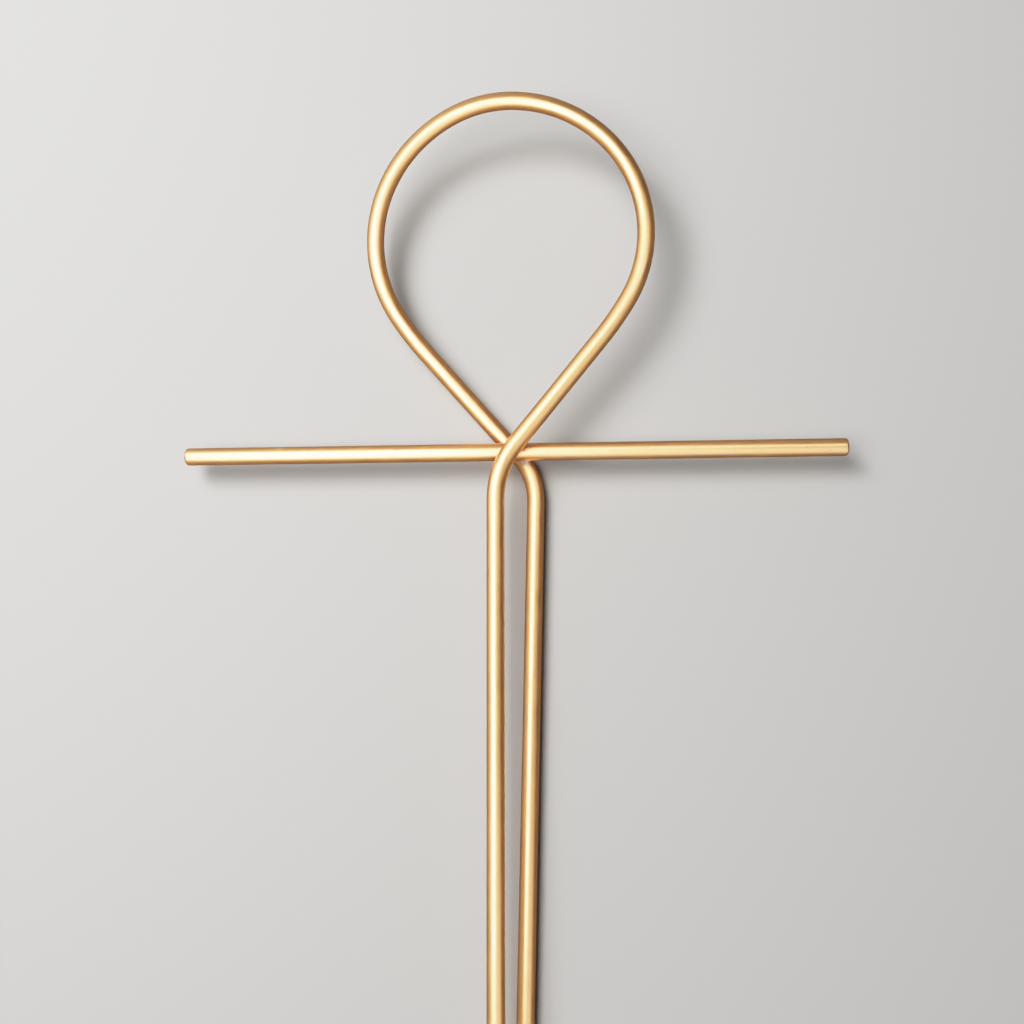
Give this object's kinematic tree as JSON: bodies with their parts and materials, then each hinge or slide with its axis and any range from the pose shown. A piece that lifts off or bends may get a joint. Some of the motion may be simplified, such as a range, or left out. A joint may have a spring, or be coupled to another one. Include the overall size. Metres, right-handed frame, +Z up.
{
  "type": "ankh",
  "caption": "Ankh of round brass rod: one rod bent into a teardrop loop and a two-legged shaft, brazed round a straight crossbar.",
  "frame": {"origin": "on the surface that the ankh lies on, below the middle of its outline", "axes": "+X along the crossbar, +Y towards the top of the loop, +Z up from the surface"},
  "size_m": [0.303, 0.4665, 0.0314],
  "materials": {
    "brass_rod": "satin polished brass with a warm gold tone",
    "braze": "dull pale filler metal"
  },
  "bodies": {
    "root": {"bent_rod": "brass_rod", "crossbar": "brass_rod", "front_braze": "braze", "back_braze": "braze"}
  },
  "joints": []
}
